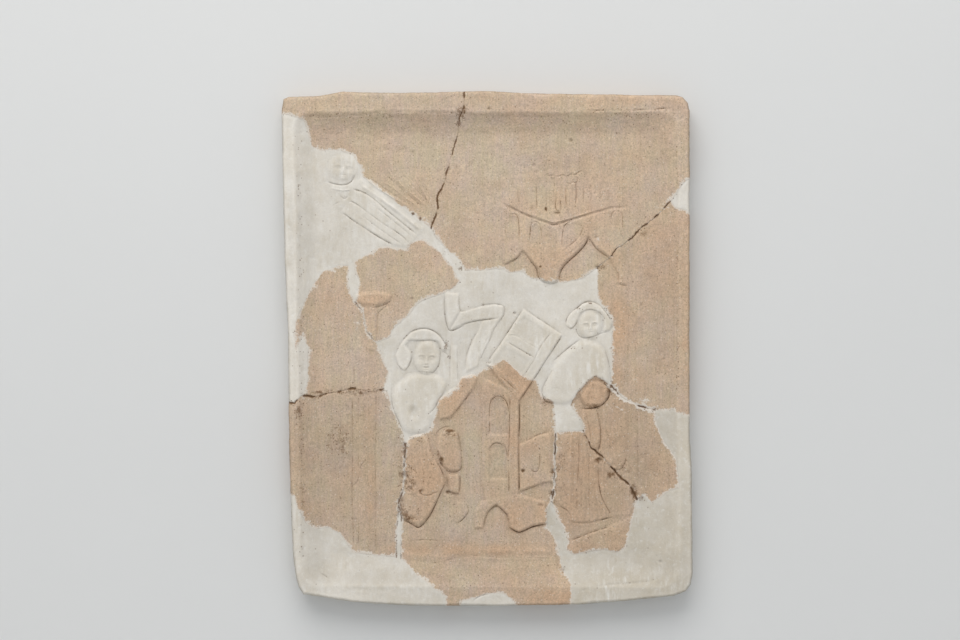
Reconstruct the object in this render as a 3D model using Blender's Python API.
"""A relief stove tile of fired clay, broken into sherds and made whole with plaster.

The tile's face looks along -Y. X runs to the right and Z runs up. The clay leaf carries a proud rim
and a low relief, and behind it stands an open chamber, the rump, which is bedded in the stove wall.
The origin is in the middle of the rear edge of the rump's bottom wall.

The outline, the breaks and the relief are drawn on a grid that is laid over the tile's face. Columns
count to the right and rows count down, and the grid stretches with the tile's width and height.
"""
import math

import bmesh
import bpy
import numpy as np
from mathutils import Vector
from mathutils.geometry import delaunay_2d_cdt

# Driving dimensions in metres
TILE_WIDTH = 0.222
TILE_HEIGHT = 0.278
LEAF_THICKNESS = 0.009
RIM_RISE = 0.005
RIM_CHAMFER = 0.0016
RUMP_DEPTH = 0.042
RUMP_WALL = 0.009
RUMP_INSET = 0.0115
RUMP_CORNER_RADIUS = 0.014
BREAK_GAP = 0.0003

# Flat width of the rim on each side, and the reach of the hollow slope inside it
RIM_LEFT = 0.0055
RIM_TOP = 0.0090
RIM_RIGHT = 0.0065
RIM_BOTTOM = 0.0080
SLOPE_LEFT = 0.0100
SLOPE_TOP = 0.0120
SLOPE_RIGHT = 0.0120
SLOPE_BOTTOM = 0.0170
RIM_CORNER_RADIUS = 0.010
SLOPE_CORNER_RADIUS = 0.013
SLOPE_HOLLOWNESS = 1.5

# Heights of the relief above the field, and how far inside its edge a form reaches full height
FAINT = 0.0006
LOW = 0.0011
MIDDLE = 0.0016
HIGH = 0.0021
TALL = 0.0027
SHALLOW_CUT = -0.0008
DEEP_CUT = -0.0013
CRISP = 0.0016
ROUNDED = 0.0042
PLASTER_DROP = 0.0004

# Spacing of the points that the facets are drawn through
BREAK_STEP = 0.0060
OUTLINE_STEP = 0.0090
FORM_STEP = 0.0040
FIELD_STEP = 0.0120
POINT_CLEARANCE = 0.0011
EDGE_CLEARANCE = 0.0010
FOOT_MARGIN = 0.0002
CREST_SHARE = 0.85
STEEP_SHARE = 0.38
SNAP_REACH = 0.0007
CROSSING_MARGIN = 0.02
PARALLEL = 1e-15
MERGE_DISTANCE = 1e-6
ARC_STEPS = 4

# How a corner of a break is moved back by half the gap: the flattest turn that is solved exactly,
# the least length that a flatter turn is divided by, and the most it moves in half gaps
FLAT_TURN = 0.2
FLAT_LENGTH = 0.5
MOST_HALF_GAPS = 3.0
SHARP_ANGLE = math.radians(38)

# The drawing grid: the columns and rows that the tile spans
GRID_LEFT = 282
GRID_RIGHT = 692
GRID_TOP = 91
GRID_BOTTOM = 604.5
CELL_WIDTH = TILE_WIDTH / (GRID_RIGHT - GRID_LEFT)
CELL_HEIGHT = TILE_HEIGHT / (GRID_BOTTOM - GRID_TOP)
GRID_MIDDLE = (GRID_LEFT + GRID_RIGHT) / 2
OUTSIDE = 14
PAST_FOOT = 618

TERRACOTTA = ((0.58, 0.43, 0.31), 0.92)
PLASTER = ((0.76, 0.72, 0.66), 0.95)

# The tile's edge, clockwise from the top left corner, and its four corners as the rump meets them
TILE_OUTLINE = [
    (282, 113), (284, 99), (289, 97), (320, 96), (344, 91.5), (383, 93), (429, 92.5), (488, 91),
    (519, 93), (569, 94), (640, 95), (675, 95), (682, 97), (687, 103), (689, 111), (689, 300),
    (689, 434), (691, 469), (692, 571), (690, 583), (685, 590), (674, 594.5), (649, 597),
    (614, 600.5), (580, 603), (490, 604.5), (413, 604.5), (352, 600.5), (304, 593), (299, 586),
    (296, 572), (293.5, 554), (292, 523), (289.6, 446), (288.5, 336), (285, 250), (283, 160),
]
TOP_ROW = 95
FOOT_ROW = 600
TILE_CORNERS = [(283, TOP_ROW), (689, TOP_ROW), (691, FOOT_ROW), (292, FOOT_ROW)]

# Points where three or more pieces meet
NODE_TOP = (431, 228)
NODE_CANOPY = (597, 267)
NODE_RIGHT_RIM = (670, 201)
NODE_CAPITAL = (355, 301)
NODE_CAPITAL_FOOT = (376, 342)
NODE_LEFT_CRACK = (384, 388)
NODE_LEFT_RIM = (303, 395)
NODE_ROBE_LEFT = (405, 443)
NODE_ROBE_RIGHT = (556, 431)
NODE_ELBOW_LEFT = (570, 405)
NODE_ELBOW_RIGHT = (611, 385)
NODE_WEDGE = (583, 430)
NODE_LOWER_RIGHT = (655, 410)
NODE_SLEEVE = (637, 499)
NODE_SEAM_LEFT = (398.5, 503)
NODE_SEAM_RIGHT = (552, 500)

# The breaks between the pieces. An end that runs to the tile's edge runs on past it.
BREAKS = {
    "top_crack": [
        (465, GRID_TOP - OUTSIDE), (464, 108), (459, 117), (459, 131), (453, 151), (444, 183),
        (437, 197), (438, 210), NODE_TOP,
    ],
    "top_left_sherd_edge": [
        (GRID_LEFT - OUTSIDE, 115), (291, 115), (304, 119.5), (309.5, 137), (312, 146), (321, 150),
        (341, 149.5), (352, 154), (360, 165), (362.5, 176), (383, 192), (403, 206), NODE_TOP,
    ],
    "top_right_sherd_edge": [
        NODE_TOP, (438, 239), (447, 249), (457, 257), (465, 270), (503, 268), (510, 272),
        (523, 272), (528, 277), (543, 281), (561, 282.6), (583, 277), NODE_CANOPY,
    ],
    "right_crack": [
        NODE_CANOPY, (610, 257), (616, 249), (629, 239), (641, 228), (656, 216), NODE_RIGHT_RIM,
    ],
    "rim_wedge_top": [NODE_RIGHT_RIM, (677, 190), (686, 180), (GRID_RIGHT + OUTSIDE, 171)],
    "rim_wedge_foot": [NODE_RIGHT_RIM, (675, 206), (684, 209), (GRID_RIGHT + OUTSIDE, 228)],
    "left_sherd_edge": [
        NODE_CAPITAL, (351, 292), (349.5, 282), (349, 265), (336, 266), (322, 271), (313, 284),
        (305, 300), (296, 321), (294, 334), (297, 350), (303, 337), (308, 347),
        (308, 380), NODE_LEFT_RIM,
    ],
    "upper_middle_sherd_edge": [
        NODE_CAPITAL, (358, 291), (360, 281), (354, 269), (354, 261), (379, 247), (390, 245.5),
        (406, 249), (410, 242), (424, 238.5), (438, 250), (452, 266), (461, 281), (456, 287),
        (433, 296), (422, 299), (409, 314), (393, 328), (389, 337), NODE_CAPITAL_FOOT,
    ],
    "capital_crack": [NODE_CAPITAL, (363, 311), (366, 331), NODE_CAPITAL_FOOT],
    "left_sherd_right_edge": [NODE_CAPITAL_FOOT, (384, 357), (389, 373), NODE_LEFT_CRACK],
    "left_crack": [
        NODE_LEFT_CRACK, (373, 392), (353, 388), (335, 392), (316, 396), NODE_LEFT_RIM, (295, 402),
        (GRID_LEFT - OUTSIDE, 399),
    ],
    "torso_edge": [
        NODE_LEFT_CRACK, (388, 393), (392, 409), (403, 429), NODE_ROBE_LEFT,
    ],
    "lower_left_crack": [NODE_ROBE_LEFT, (405, 454), (404, 477), (402, 492), NODE_SEAM_LEFT],
    "seam_left": [NODE_SEAM_LEFT, (396.8, 530), (396.5, 556.5)],
    "seam_right": [NODE_SEAM_LEFT, (400.8, 517), (401, 530), (401, 558)],
    "lower_left_sherd_edge": [
        (396.5, 556.5), (383, 556), (353, 552), (343, 535), (327, 526), (316, 528), (308, 524),
        (298, 506), (295, 494), (GRID_LEFT - OUTSIDE, 492),
    ],
    "centre_sherd_foot": [(401, 558), (416, 572), (429, 583), (445.5, 595), (445, PAST_FOOT)],
    "centre_sherd_top": [
        NODE_ROBE_LEFT, (410, 436), (429, 431), (436, 411), (438, 399), (455, 388), (461, 377),
        (476, 373), (486, 366), (504.6, 359), (525, 375), (537, 380), (543, 396), (554, 401),
        NODE_ROBE_RIGHT,
    ],
    "robe_crack": [NODE_ROBE_RIGHT, (555, 451), (554, 485), NODE_SEAM_RIGHT],
    "centre_sherd_right_edge": [
        NODE_SEAM_RIGHT, (547.5, 510), (547, 527), (558, 542), (559, 554), (563, 568), (571, 582),
        (572, PAST_FOOT),
    ],
    "robe_sherd_edge": [
        NODE_SEAM_RIGHT, (556, 517), (563, 527), (568, 541), (566, 549), (573, 554), (606, 549),
        (616, 553), (626, 548), (632, 524), NODE_SLEEVE,
    ],
    "wedge_foot": [NODE_ROBE_RIGHT, NODE_WEDGE],
    "wedge_right": [NODE_WEDGE, (582, 421), (577, 414), NODE_ELBOW_LEFT],
    "elbow_edge": [NODE_ELBOW_LEFT, (578, 392), (590, 379), (596, 376), NODE_ELBOW_RIGHT],
    "sleeve_crack": [
        NODE_WEDGE, (592, 447), (602, 455), (616, 472), (629, 484), NODE_SLEEVE,
    ],
    "lower_right_sherd_edge": [
        NODE_SLEEVE, (643, 494), (652, 503), (666, 492), (679, 487), (675, 458), (664, 441),
        (656, 422), NODE_LOWER_RIGHT,
    ],
    "right_sherd_left_edge": [
        NODE_CANOPY, (597, 296), (609, 313), (612.6, 322), (611.7, 346), NODE_ELBOW_RIGHT,
    ],
    "column_crack": [NODE_ELBOW_RIGHT, (621, 397), (631, 402), NODE_LOWER_RIGHT],
    "right_sherd_foot": [
        NODE_LOWER_RIGHT, (673, 409), (676, 412), (687, 415), (GRID_RIGHT + OUTSIDE, 419),
    ],
    "bottom_chip": [
        (459, PAST_FOOT), (462, 600), (469, 597), (479, 594.6), (491, 592), (503, 592), (514, 599),
        (516, PAST_FOOT),
    ],
}

# Each piece, a grid point inside it, and whether it is a plaster fill
PIECES = {
    "sherd_top_left": ((400, 150), False),
    "sherd_top_right": ((500, 180), False),
    "sherd_left": ((330, 330), False),
    "sherd_upper_middle": ((400, 280), False),
    "sherd_right": ((650, 300), False),
    "sherd_lower_left": ((360, 450), False),
    "sherd_centre": ((490, 450), False),
    "sherd_robe": ((580, 500), False),
    "sherd_lower_right": ((640, 450), False),
    "fill_upper": ((500, 290), True),
    "fill_lower_left": ((330, 570), True),
    "fill_lower_right": ((650, 570), True),
    "fill_right_edge": ((683, 197), True),
    "fill_bottom_edge": ((490, 600), True),
}

# Raised forms: outline, height above the field, and how far in from the edge the form rounds up
FORMS = {
    "canopy_crown": (
        [(500, 177), (530, 173), (560, 169), (600, 168), (630, 172), (634, 190), (630, 206),
         (611, 207), (585, 215), (553, 224), (523, 213), (503, 202)], FAINT, ROUNDED),
    "canopy_arches": (
        [(502, 203), (523, 213), (553, 224), (585, 215), (611, 207), (629, 206), (630, 240),
         (627, 284), (617.5, 283), (618, 274), (609, 257), (595, 247), (588, 237), (585, 244),
         (575, 254), (565, 262), (559.5, 270), (558, 280), (551, 283), (542, 280), (537, 267),
         (522.5, 250), (518, 257), (504, 264)], MIDDLE, CRISP),
    "right_column": ([(613, 283), (627, 284), (627, 400), (612, 388)], MIDDLE, ROUNDED),
    "capital": (
        [(354, 291), (393, 291), (391, 300), (382, 305), (374, 306.5), (363, 306), (356, 301)],
        MIDDLE, CRISP),
    "left_shaft": ([(353, 346), (376, 346), (376, 550), (352, 546)], LOW, ROUNDED),
    "capital_neck": ([(364.8, 304), (376, 304), (376, 350), (366, 350)], LOW, CRISP),
    "small_head_shoulder": (
        [(328, 181), (343, 184), (358, 176), (366, 182), (350, 204), (341, 211), (333, 204)],
        FAINT, ROUNDED),
    "ray_bundle": ([(361, 176), (425, 227), (408, 246), (393, 244), (341, 211)], FAINT, CRISP),
    "scroll_rise": ([(444, 291), (459, 293), (459, 312), (448, 331)], LOW, CRISP),
    "scroll_band": (
        [(449, 331), (460, 311), (479, 306), (496, 303.5), (504, 305), (503, 318), (482, 319.5),
         (465, 323)], MIDDLE, CRISP),
    "scroll_fall": (
        [(482, 320), (503, 316), (493, 329), (484, 351), (478, 366), (465, 373), (466, 358),
         (474, 337)], LOW, CRISP),
    "staff": ([(450, 343), (458, 346), (459, 386), (450, 389)], LOW, CRISP),
    "left_head": (
        [(395, 354), (398, 346), (405, 337), (412, 331), (422, 328), (432, 329.5), (440, 336),
         (448, 348), (441, 352), (440, 366), (434, 374), (424, 373), (415, 363), (411, 361),
         (405, 370.5), (398, 366)], HIGH, ROUNDED),
    "left_torso": (
        [(403, 377), (412, 372), (429, 372), (440, 374), (448, 383), (446, 391), (439, 400),
         (434, 411), (429, 432), (405, 434), (398, 420), (391.5, 404), (392, 386)], HIGH, ROUNDED),
    "left_arm": (
        [(437, 402), (447, 392), (457, 385), (462, 377), (472, 374), (478, 377), (474, 388),
         (461, 405), (450, 418), (440, 419)], HIGH, ROUNDED),
    "left_robe": (
        [(404, 434), (428, 432), (431, 448), (444, 476), (446, 484), (436, 503), (429, 517),
         (419, 527), (411, 521), (402, 518), (402, 492), (404, 466)], HIGH, ROUNDED),
    "left_sleeve": (
        [(438, 433), (445, 426), (457, 429), (460, 444), (462, 464), (459, 472), (447, 472),
         (438, 459), (434, 446)], TALL, ROUNDED),
    "left_hem": ([(446, 474), (459, 473), (459, 494), (449, 492)], LOW, CRISP),
    "left_foot": ([(456, 500), (466, 503), (469, 510), (465, 518), (455, 524)], FAINT, CRISP),
    "lectern_panel": (
        [(480, 396), (486, 378), (515, 392), (519, 400), (519, 496), (508, 503), (496, 503),
         (486, 508), (481, 480)], LOW, CRISP),
    "lectern_base": (
        [(481, 500), (519, 493), (545, 500), (548, 522), (532, 525), (519, 532), (509, 527),
         (507, 514), (496, 504), (487, 512), (483, 528), (474, 528), (474, 510)], MIDDLE, CRISP),
    "bench": ([(519, 443), (540, 433), (552, 431), (552, 480), (540, 483), (519, 491)], LOW, CRISP),
    "desk": ([(524, 307.5), (563, 334), (518, 402), (486, 363)], HIGH, CRISP),
    "right_head": (
        [(566, 324), (567, 316), (573, 309), (583, 302), (593, 300), (602, 305), (608, 313),
         (612, 322), (610, 330), (592, 338), (583, 338), (577, 331), (572, 329)], HIGH, ROUNDED),
    "right_torso": (
        [(579, 339), (591, 338), (604, 345), (609, 358), (611, 386), (596, 378), (583, 389),
         (570, 405), (545, 402), (541, 392), (546, 377), (553, 362), (563, 352)], HIGH, ROUNDED),
    "elbow": (
        [(578, 394), (584, 386), (592, 378), (602, 380), (610, 387), (609, 396), (603, 404),
         (595, 407), (585, 407)], TALL, ROUNDED),
    "right_sleeve": (
        [(580, 404), (598, 406), (601, 426), (600.5, 440), (597, 451), (588, 446), (582, 430)],
        HIGH, ROUNDED),
    "hanging_sleeve": (
        [(601, 404), (611, 392), (627, 404), (627, 456), (621, 469), (613, 469), (603, 459),
         (599, 448), (602, 430)], MIDDLE, ROUNDED),
    "right_robe": (
        [(556, 433), (583, 431), (592, 447), (603, 456), (616, 472), (630, 486), (635, 500),
         (631, 515), (612, 517), (590, 522), (571, 522), (565, 509), (556, 502)],
        HIGH, ROUNDED),
    "step": (
        [(567, 549), (570, 540), (590, 532), (609, 526), (633, 516), (628, 545), (616, 552),
         (604, 549), (574, 554)], LOW, CRISP),
}

# Ovals: centre, half width and half height in cells, height above the field, and rounding
OVALS = {
    "small_head": ((344, 166), (16.5, 14), LOW, ROUNDED),
    "left_face": ((427, 354), (13, 17.5), TALL, ROUNDED),
    "right_face": ((589.5, 324.5), (11, 13), TALL, ROUNDED),
}
OVAL_STEPS = 14

# Cuts into the forms: outline and depth
CUTS = {
    "arch_upper": (
        [(489, 434), (489, 406), (493, 398), (499, 395), (505, 399), (508.5, 410), (509, 434)],
        DEEP_CUT),
    "arch_lower": (
        [(488, 479), (488, 448), (493, 442.5), (499, 441.5), (505, 445), (508, 452), (508, 479)],
        DEEP_CUT),
    "window_left": ([(505, 240), (507, 215), (514, 213.5), (518.5, 217), (519, 240)], SHALLOW_CUT),
    "window_middle": (
        [(530, 245), (530, 227), (535.5, 221.5), (540.6, 227), (541, 245)], SHALLOW_CUT),
    "window_right": (
        [(562, 248), (562, 231), (566, 223), (575, 221), (583, 224), (581, 235), (571, 247)],
        SHALLOW_CUT),
    "desk_upper_panel": ([(524, 314), (550, 332), (538, 346), (508, 332)], SHALLOW_CUT),
    "desk_lower_panel": ([(503, 344), (531, 359), (516, 384), (491, 363)], SHALLOW_CUT),
}

# Ridges: centre line, half width, and height above what they cross
NARROW = 0.0026
FOLD = 0.0028
BROAD = 0.0032
RIDGES = {
    "lectern_stem": ([(513.8, 400), (513.8, 497)], FOLD, LOW),
    "column_roll": ([(631.5, 287), (632, 400), (633.5, 493)], NARROW, FAINT),
    "plinth_ledge": ([(400, 560), (441, 560), (470, 556), (555, 556)], BROAD, FAINT),
    "robe_fold_left": ([(567, 438), (567, 506)], FOLD, FAINT),
    "robe_fold_right": ([(589, 452), (590, 500), (595, 517)], FOLD, FAINT),
    "left_robe_fold": ([(419, 440), (420, 485)], FOLD, FAINT),
}
RAY_COUNT = 5
RAY_FIRST = ((362, 183), (423, 231))
RAY_LAST = ((347, 207), (400, 243))
RAY_HALF_WIDTH = 0.0021
FAINT_RAYS = [
    [(368, 179), (414, 211)], [(381, 177), (421, 209)], [(391, 171), (427, 206)],
    [(407, 163), (430, 197)],
]
FAINT_RAY_HALF_WIDTH = 0.0022


def on_tile(points):
    """Grid points as an array of X and Z in metres."""
    grid = np.asarray(points, dtype=float).reshape(-1, 2)
    x = (grid[:, 0] - GRID_MIDDLE) * CELL_WIDTH
    z = (FOOT_ROW - grid[:, 1]) * CELL_HEIGHT - RUMP_INSET - RUMP_WALL / 2
    return np.column_stack([x, z])


def spread(points, step, closed):
    """The same line with extra points, so that no stretch is longer than the step."""
    out = []
    ends = np.roll(points, -1, axis=0) if closed else points[1:]
    for start, end in zip(points, ends):
        pieces = max(1, round(float(np.linalg.norm(end - start)) / step))
        out.extend(start + (end - start) * i / pieces for i in range(pieces))
    if not closed:
        out.append(points[-1])
    return np.array(out)


def signed_distance(polygon, points):
    """Distance of each point from a closed polygon's edge, positive inside."""
    nearest = np.full(len(points), np.inf)
    inside = np.zeros(len(points), dtype=bool)
    for a, b in zip(polygon, np.roll(polygon, -1, axis=0)):
        edge = b - a
        along = np.clip((points - a) @ edge / max(edge @ edge, 1e-18), 0.0, 1.0)
        gap = points - a - along[:, None] * edge
        nearest = np.minimum(nearest, np.hypot(gap[:, 0], gap[:, 1]))
        if a[1] != b[1]:
            spans = (a[1] > points[:, 1]) != (b[1] > points[:, 1])
            crossing = a[0] + (points[:, 1] - a[1]) * edge[0] / edge[1]
            inside ^= spans & (points[:, 0] < crossing)
    return np.where(inside, nearest, -nearest)


def line_distance(line, points):
    """Distance of each point from an open line."""
    nearest = np.full(len(points), np.inf)
    for a, b in zip(line, line[1:]):
        edge = b - a
        along = np.clip((points - a) @ edge / (edge @ edge), 0.0, 1.0)
        gap = points - a - along[:, None] * edge
        nearest = np.minimum(nearest, np.hypot(gap[:, 0], gap[:, 1]))
    return nearest


def inset_corners(insets):
    """The tile's four corners moved in by the left, top, right and bottom insets."""
    corners = on_tile(TILE_CORNERS)
    left, top, right, bottom = insets
    lines = []
    for start, inset in zip(range(4), (top, right, bottom, left)):
        a = corners[start]
        b = corners[(start + 1) % 4]
        direction = (b - a) / np.linalg.norm(b - a)
        inward = np.array([direction[1], -direction[0]])
        lines.append((a + inward * inset, direction))
    moved = []
    for previous, current in zip([lines[3]] + lines[:3], lines):
        matrix = np.column_stack([previous[1], -current[1]])
        reach = np.linalg.solve(matrix, current[0] - previous[0])[0]
        moved.append(previous[0] + previous[1] * reach)
    return np.array(moved)


def rounded_loop(insets, radius):
    """A closed loop parallel to the tile's sides, with its corners rounded."""
    corners = inset_corners(insets)
    loop = []
    for i, corner in enumerate(corners):
        before = corners[i - 1] - corner
        after = corners[(i + 1) % 4] - corner
        before /= np.linalg.norm(before)
        after /= np.linalg.norm(after)
        half_angle = math.acos(float(np.clip(before @ after, -1.0, 1.0))) / 2
        middle = (before + after) / np.linalg.norm(before + after)
        centre = corner + middle * radius / math.sin(half_angle)
        start = corner + before * radius / math.tan(half_angle) - centre
        end = corner + after * radius / math.tan(half_angle) - centre
        first = math.atan2(start[1], start[0])
        turn = (math.atan2(end[1], end[0]) - first + math.pi) % (2 * math.pi) - math.pi
        for step in range(ARC_STEPS + 1):
            angle = first + turn * step / ARC_STEPS
            loop.append(centre + radius * np.array([math.cos(angle), math.sin(angle)]))
    return np.array(loop)


OUTLINE = on_tile(TILE_OUTLINE)
RIM_WIDTHS = (RIM_LEFT, RIM_TOP, RIM_RIGHT, RIM_BOTTOM)
SLOPE_REACH = (SLOPE_LEFT, SLOPE_TOP, SLOPE_RIGHT, SLOPE_BOTTOM)
RIM_EDGE = rounded_loop(RIM_WIDTHS, RIM_CORNER_RADIUS)
SLOPE_FOOT = rounded_loop(
    [rim + slope for rim, slope in zip(RIM_WIDTHS, SLOPE_REACH)], SLOPE_CORNER_RADIUS)
RUMP_OUTSIDE = rounded_loop([RUMP_INSET] * 4, RUMP_CORNER_RADIUS)
RUMP_INSIDE = rounded_loop([RUMP_INSET + RUMP_WALL] * 4, RUMP_CORNER_RADIUS - RUMP_WALL)


def oval(centre, half):
    """Grid points round an oval."""
    turns = (2 * math.pi * i / OVAL_STEPS for i in range(OVAL_STEPS))
    return [(centre[0] + half[0] * math.cos(t), centre[1] + half[1] * math.sin(t)) for t in turns]


def all_forms():
    """Every raised form as outline, height and rounding, ovals among them."""
    forms = [(on_tile(points), height, soft) for points, height, soft in FORMS.values()]
    for centre, half, height, soft in OVALS.values():
        forms.append((on_tile(oval(centre, half)), height, soft))
    return forms


def all_ridges():
    """Every ridge as centre line, half width and height, the rays among them."""
    ridges = [(on_tile(line), half, height) for line, half, height in RIDGES.values()]
    first, last = on_tile(RAY_FIRST), on_tile(RAY_LAST)
    for i in range(RAY_COUNT):
        ray = first + (last - first) * i / (RAY_COUNT - 1)
        ridges.append((ray, RAY_HALF_WIDTH, FAINT))
    for ray in FAINT_RAYS:
        ridges.append((on_tile(ray), FAINT_RAY_HALF_WIDTH, FAINT))
    return ridges


def relief_height(points):
    """Height of the face above the field at each point."""
    from_rim = np.maximum(-signed_distance(RIM_EDGE, points), 0.0)
    to_rim = np.maximum(signed_distance(RIM_EDGE, points), 0.0)
    to_foot = np.maximum(-signed_distance(SLOPE_FOOT, points), 0.0)
    fall = np.where(from_rim > 0, 0.0, to_rim / np.maximum(to_rim + to_foot, 1e-9))
    slope = RIM_RISE * (1.0 - fall) ** SLOPE_HOLLOWNESS
    relief = np.zeros(len(points))
    for outline, height, soft in all_forms():
        inside = signed_distance(outline, points)
        full = np.sin(np.clip(inside / soft, 0.0, 1.0) * math.pi / 2)
        relief = np.maximum(relief, height * full)
    for outline, depth in ((on_tile(line), depth) for line, depth in CUTS.values()):
        full = np.clip(signed_distance(outline, points) / CRISP, 0.0, 1.0)
        relief = relief + depth * full
    for line, half, height in all_ridges():
        share = np.clip(line_distance(line, points) / half, 0.0, 1.0)
        relief = relief + height * np.cos(share * math.pi / 2) ** 2
    edge = np.clip(signed_distance(OUTLINE, points) / RIM_CHAMFER, 0.0, 1.0)
    return slope + relief - RIM_CHAMFER * (1.0 - edge) ** 2


def beside(line, distance, closed):
    """The line moved sideways, to its right by a positive distance."""
    if closed:
        run = np.roll(line, -1, axis=0) - np.roll(line, 1, axis=0)
    else:
        run = np.gradient(line, axis=0)
    run = run / np.maximum(np.linalg.norm(run, axis=1), 1e-12)[:, None]
    return line + distance * np.column_stack([run[:, 1], -run[:, 0]])


def form_rows(outline, soft):
    """A row just outside a form's edge and one where it has rounded up."""
    area = np.cross(outline, np.roll(outline, -1, axis=0)).sum()
    inward = -1.0 if area > 0 else 1.0
    edge = spread(outline, FORM_STEP, True)
    foot = beside(edge, -inward * FOOT_MARGIN, True)
    crest = beside(edge, inward * soft, True)
    full = signed_distance(outline, crest) > soft * CREST_SHARE
    return [(foot, whole(foot), True), (crest, full, True)]


def whole(row):
    """A mask that keeps every point of a row."""
    return np.ones(len(row), dtype=bool)


def face_rows():
    """The rows of points that the facets are drawn along, each with what is kept of it and
    whether it is closed."""
    middle_slope = [rim + slope * STEEP_SHARE for rim, slope in zip(RIM_WIDTHS, SLOPE_REACH)]
    loops = [RIM_EDGE, SLOPE_FOOT, rounded_loop(middle_slope, RIM_CORNER_RADIUS)]
    closed = [spread(loop, OUTLINE_STEP, True) for loop in loops]
    closed.append(beside(spread(OUTLINE, OUTLINE_STEP, True), RIM_CHAMFER, True))
    rows = [(row, whole(row), True) for row in closed]
    for line, half, _ in all_ridges():
        middle = spread(line, FORM_STEP, False)
        for row in (middle, beside(middle, half, False), beside(middle, -half, False)):
            rows.append((row, whole(row), False))
    for outline, _, soft in all_forms():
        rows.extend(form_rows(outline, soft))
    for outline, _ in CUTS.values():
        rows.extend(form_rows(on_tile(outline), CRISP))
    return rows


def field_points():
    """A wide net of points over the whole face."""
    points = []
    low, high = OUTLINE.min(axis=0), OUTLINE.max(axis=0)
    rows = np.arange(low[1] + FIELD_STEP / 2, high[1], FIELD_STEP * math.sqrt(3) / 2)
    for i, z in enumerate(rows):
        columns = np.arange(low[0] + FIELD_STEP * (i % 2) / 2, high[0], FIELD_STEP)
        points.append(np.column_stack([columns, np.full(len(columns), z)]))
    return np.concatenate(points)


def face_net():
    """All points of the face, and the edges along its rows. Points that crowd an earlier one
    are left out."""
    kept, edges, cells = [], [], {}

    def add(point):
        key = (int(point[0] // POINT_CLEARANCE), int(point[1] // POINT_CLEARANCE))
        near = [q for i in (-1, 0, 1) for j in (-1, 0, 1)
                for q in cells.get((key[0] + i, key[1] + j), ())]
        if any(np.hypot(*(point - q)) < POINT_CLEARANCE for q in near):
            return None
        kept.append(point)
        cells.setdefault(key, []).append(point)
        return len(kept) - 1

    for row, wanted, closed in face_rows():
        numbers = [add(point) if use else None for point, use in zip(row, wanted)]
        for a, b in zip(numbers, numbers[1:] + (numbers[:1] if closed else [])):
            if a is not None and b is not None and a != b:
                edges.append((a, b))
    for point in field_points():
        add(point)
    return np.array(kept), np.array(edges)


def with_crossings(line, loops):
    """The line with a point wherever it crosses one of the loops."""
    out = []
    for a, b in zip(line, line[1:]):
        shares = []
        for loop in loops:
            for c, d in zip(loop, np.roll(loop, -1, axis=0)):
                across = np.cross(b - a, d - c)
                if abs(across) < PARALLEL:
                    continue
                along = np.cross(c - a, d - c) / across
                other = np.cross(c - a, b - a) / across
                if CROSSING_MARGIN < along < 1.0 - CROSSING_MARGIN and 0.0 <= other < 1.0:
                    shares.append(float(along))
        out.append(a)
        out.extend(a + (b - a) * share for share in sorted(shares))
    out.append(line[-1])
    return np.array(out)


def nearest_on(loop, point):
    """The place on a closed loop that is nearest to a point."""
    places = []
    for a, b in zip(loop, np.roll(loop, -1, axis=0)):
        edge = b - a
        along = min(max(float((point - a) @ edge / (edge @ edge)), 0.0), 1.0)
        places.append(a + edge * along)
    return min(places, key=lambda place: float(np.linalg.norm(place - point)))


def onto_loops(line, loops):
    """The line with each point that all but meets a loop moved onto it, and none doubled."""
    moved = []
    for point in line:
        places = [nearest_on(loop, point) for loop in loops]
        near = [place for place in places if np.linalg.norm(place - point) < SNAP_REACH]
        moved.append(near[0] if near else point)
    kept = moved[:1]
    for point in moved[1:-1]:
        if min(np.linalg.norm(point - kept[-1]), np.linalg.norm(point - moved[-1])) > BREAK_GAP:
            kept.append(point)
    return np.array(kept + moved[-1:])


def plan():
    """The tile's plan: triangles between the breaks, each with its piece and whether the rump
    stands behind it. Returns points, triangles by piece, rump triangles and the tile's own edges."""
    chamfer_edge = beside(OUTLINE, RIM_CHAMFER, True)
    loops = [chamfer_edge, RIM_EDGE, SLOPE_FOOT]
    lines = [(spread(OUTLINE, OUTLINE_STEP, True), True, "outline")]
    for line in BREAKS.values():
        crossed = with_crossings(on_tile(line), loops)
        stepped = spread(crossed, BREAK_STEP, False)
        lines.append((onto_loops(stepped, [RUMP_OUTSIDE, RUMP_INSIDE]), False, "break"))
    lines.append((RUMP_OUTSIDE, True, "rump"))
    lines.append((RUMP_INSIDE, True, "rump"))
    points, edges, kinds = [], [], []
    for line, closed, kind in lines:
        first = len(points)
        points.extend(line)
        count = len(line)
        for i in range(count if closed else count - 1):
            edges.append((first + i, first + (i + 1) % count))
            kinds.append(kind)
    coords, made_edges, faces, _, edge_origins, _ = delaunay_2d_cdt(
        [Vector(p) for p in points], edges, [], 0, MERGE_DISTANCE)
    walls = {}
    for edge, origins in zip(made_edges, edge_origins):
        found = {kinds[o] for o in origins if o < len(kinds)}
        if found & {"outline", "break"}:
            walls[frozenset(edge)] = "outline" if "outline" in found else "break"
    coords = np.array([tuple(c) for c in coords])
    by_edge = faces_by_edge(faces)
    centres = np.array([coords[list(face)].mean(axis=0) for face in faces])
    ring = (signed_distance(RUMP_OUTSIDE, centres) > 0) & (signed_distance(RUMP_INSIDE, centres) < 0)
    regions = {}
    for name, (seed, _) in PIECES.items():
        start = triangle_at(on_tile([seed])[0], coords, faces)
        regions[name] = flood(start, faces, by_edge, walls)
    return coords, faces, regions, ring, walls


def faces_by_edge(faces):
    """The numbers of the faces on each edge."""
    by_edge = {}
    for index, face in enumerate(faces):
        for a, b in zip(face, face[1:] + face[:1]):
            by_edge.setdefault(frozenset((a, b)), []).append(index)
    return by_edge


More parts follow.
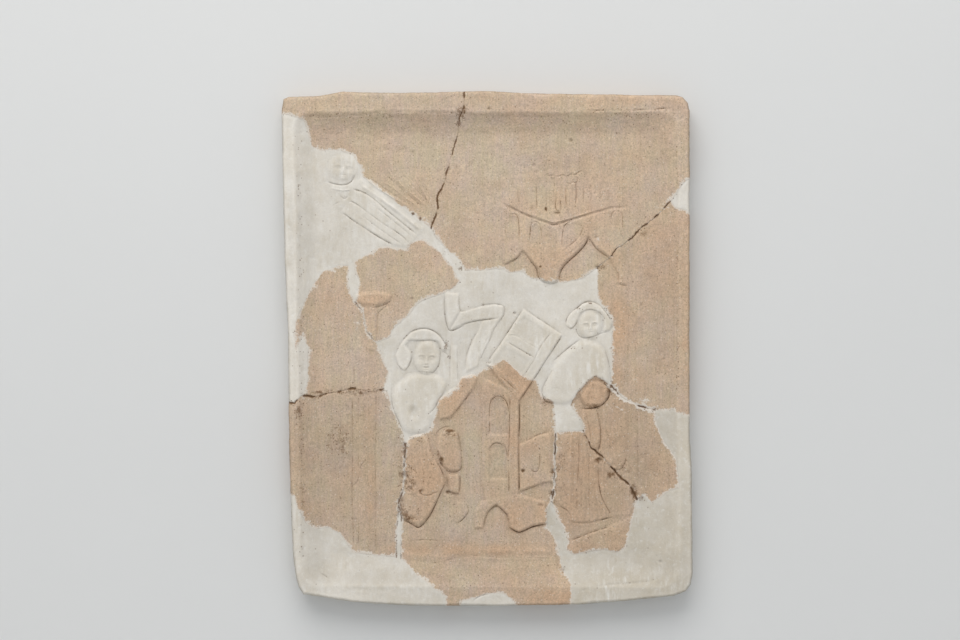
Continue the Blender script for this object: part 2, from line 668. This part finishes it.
def holds_edge(face, edge):
    """Whether a face runs along an edge in the edge's own direction."""
    return tuple(edge) in zip(face, face[1:] + face[:1])


def triangle_at(point, coords, faces):
    """Index of the triangle that holds a point."""
    for index, face in enumerate(faces):
        if signed_distance(coords[list(face)], point[None])[0] >= 0:
            return index
    raise ValueError("the point is off the plan")


def flood(start, faces, by_edge, walls):
    """All triangles reached from the first without crossing a break or the tile's edge."""
    reached = {start}
    queue = [start]
    while queue:
        face = faces[queue.pop()]
        for a, b in zip(face, face[1:] + face[:1]):
            edge = frozenset((a, b))
            if edge in walls:
                continue
            for other in by_edge[edge]:
                if other not in reached:
                    reached.add(other)
                    queue.append(other)
    return sorted(reached)


def boundary_loops(triangles):
    """The region's border as loops of point numbers, with the region on the left."""
    directed = {(a, b) for face in triangles for a, b in zip(face, face[1:] + face[:1])}
    following = {a: b for a, b in directed if (b, a) not in directed}
    loops = []
    while following:
        first, current = following.popitem()
        loop = [first]
        while current != first:
            loop.append(current)
            current = following.pop(current)
        loops.append(loop)
    return loops


def pulled_in(loop, coords, walls):
    """The loop's points moved into the piece by half the gap along each break."""
    half_gap = BREAK_GAP / 2
    moved = {}
    for before, here, after in zip([loop[-1]] + loop[:-1], loop, loop[1:] + loop[:1]):
        rows, offsets = [], []
        for a, b in ((before, here), (here, after)):
            run = coords[b] - coords[a]
            run = run / np.linalg.norm(run)
            rows.append((-run[1], run[0]))
            offsets.append(half_gap if walls[frozenset((a, b))] == "break" else 0.0)
        matrix = np.array(rows)
        if abs(np.linalg.det(matrix)) > FLAT_TURN:
            shift = np.linalg.solve(matrix, offsets)
        else:
            middle = matrix.sum(axis=0)
            shift = middle * max(offsets) / max(np.linalg.norm(middle), FLAT_LENGTH)
        length = np.linalg.norm(shift)
        if length > MOST_HALF_GAPS * half_gap:
            shift = shift * MOST_HALF_GAPS * half_gap / length
        moved[here] = coords[here] + shift
    return moved


def crosses(border, starts, ends):
    """Which of the straight lines from starts to ends cross a closed border."""
    crossed = np.zeros(len(starts), dtype=bool)
    run = ends - starts
    for a, b in zip(border, np.roll(border, -1, axis=0)):
        apart = np.cross(b - a, starts - a) * np.cross(b - a, ends - a) < 0
        crossed |= apart & (np.cross(run, a - starts) * np.cross(run, b - starts) < 0)
    return crossed


def net_within(borders, net):
    """The points of the face's net that lie well inside the borders, and the edges between them."""
    points, edges = net
    middles = points[edges].mean(axis=1)
    kept = []
    for group in (points, middles):
        clear = np.ones(len(group), dtype=bool)
        inside = np.zeros(len(group), dtype=bool)
        for border in borders:
            distance = signed_distance(border, group)
            clear &= np.abs(distance) > EDGE_CLEARANCE
            inside ^= distance > 0
        kept.append(clear & inside)
    renumber = np.cumsum(kept[0]) - 1
    usable = kept[0][edges].all(axis=1) & kept[1]
    for border in borders:
        usable &= ~crosses(border, points[edges[:, 0]], points[edges[:, 1]])
    return points[kept[0]], [(int(a), int(b)) for a, b in renumber[edges[usable]]]


def build_piece(name, is_plaster, coords, faces, region, ring, walls, net):
    """One sherd or fill: its face, its broken sides, its back and its stretch of the rump."""
    triangles = [faces[i] for i in region]
    loops = boundary_loops(triangles)
    place = {i: coords[i] for face in triangles for i in face}
    for loop in loops:
        place.update(pulled_in(loop, coords, walls))
    borders = [np.array([place[i] for i in loop]) for loop in loops]
    inner, inner_edges = net_within(borders, net)
    border_edges = []
    first = 0
    for loop in loops:
        count = len(loop)
        border_edges.extend((first + i, first + (i + 1) % count) for i in range(count))
        first += count
    row_edges = [(first + a, first + b) for a, b in inner_edges]
    plane, _, made, origins, _, _ = delaunay_2d_cdt(
        [Vector(p) for p in np.concatenate(borders + [inner])], border_edges + row_edges, [], 0,
        MERGE_DISTANCE)
    number = {origin: i for i, group in enumerate(origins) for origin in group}
    border_edges = [(number[a], number[b]) for a, b in border_edges]
    plane = np.array([tuple(p) for p in plane])
    drop = PLASTER_DROP if is_plaster else 0.0
    face_y = drop - RUMP_DEPTH - LEAF_THICKNESS - relief_height(plane)
    mesh = bmesh.new()
    front = [mesh.verts.new((x, y, z)) for (x, z), y in zip(plane, face_y)]
    by_edge = faces_by_edge(made)
    first_edge = border_edges[0]
    start = next(i for i in by_edge[frozenset(first_edge)] if holds_edge(made[i], first_edge))
    for i in flood(start, made, by_edge, {frozenset(edge) for edge in border_edges}):
        mesh.faces.new([front[corner] for corner in made[i]])
    front_of = {i: front[number[k]] for k, i in enumerate(i for loop in loops for i in loop)}
    behind = [bool(ring[i]) for i in region]
    add_back(mesh, front_of, loops, triangles, behind, place)
    bmesh.ops.recalc_face_normals(mesh, faces=mesh.faces)
    data = bpy.data.meshes.new(name)
    mesh.to_mesh(data)
    mesh.free()
    data.shade_smooth()
    data.set_sharp_from_angle(angle=SHARP_ANGLE)
    piece = bpy.data.objects.new(name, data)
    bpy.context.collection.objects.link(piece)
    return piece


def add_back(mesh, front_of, loops, triangles, behind, place):
    """The leaf's back, the rump's walls and the sides that join them to the face."""
    on_leaf = {i for face, ringed in zip(triangles, behind) if not ringed for i in face}
    on_rump = {i for face, ringed in zip(triangles, behind) if ringed for i in face}
    leaf = {i: mesh.verts.new((place[i][0], -RUMP_DEPTH, place[i][1])) for i in sorted(on_leaf)}
    rump = {i: mesh.verts.new((place[i][0], 0.0, place[i][1])) for i in sorted(on_rump)}
    side_of = {}
    for face, ringed in zip(triangles, behind):
        level = rump if ringed else leaf
        mesh.faces.new([level[i] for i in reversed(face)])
        for a, b in zip(face, face[1:] + face[:1]):
            side_of[(a, b)] = ringed
    for (a, b), ringed in side_of.items():
        if ringed and side_of.get((b, a)) is False:
            mesh.faces.new([leaf[a], leaf[b], rump[b], rump[a]])
    for loop in loops:
        steps = list(zip(loop, loop[1:] + loop[:1]))
        for before, (a, b), after in zip(steps[-1:] + steps[:-1], steps, steps[1:] + steps[:1]):
            corners = [front_of[a], front_of[b]]
            if side_of[(a, b)]:
                corners += [] if side_of[after] else [leaf[b]]
                corners += [rump[b], rump[a]]
                corners += [] if side_of[before] else [leaf[a]]
            else:
                corners += [leaf[b], leaf[a]]
            mesh.faces.new(corners)


def make_material(name, colour, roughness):
    """A plain matt material."""
    material = bpy.data.materials.new(name)
    material.use_nodes = True
    shader = material.node_tree.nodes["Principled BSDF"]
    shader.inputs["Base Color"].default_value = (*colour, 1.0)
    shader.inputs["Roughness"].default_value = roughness
    shader.inputs["Metallic"].default_value = 0.0
    return material


def main():
    """Empties the scene and builds every piece."""
    for old in list(bpy.data.objects):
        bpy.data.objects.remove(old)
    clay = make_material("terracotta", *TERRACOTTA)
    plaster = make_material("plaster", *PLASTER)
    coords, faces, regions, ring, walls = plan()
    net = face_net()
    for name, (_, is_plaster) in PIECES.items():
        piece = build_piece(name, is_plaster, coords, faces, regions[name], ring, walls, net)
        piece.data.materials.append(plaster if is_plaster else clay)


main()
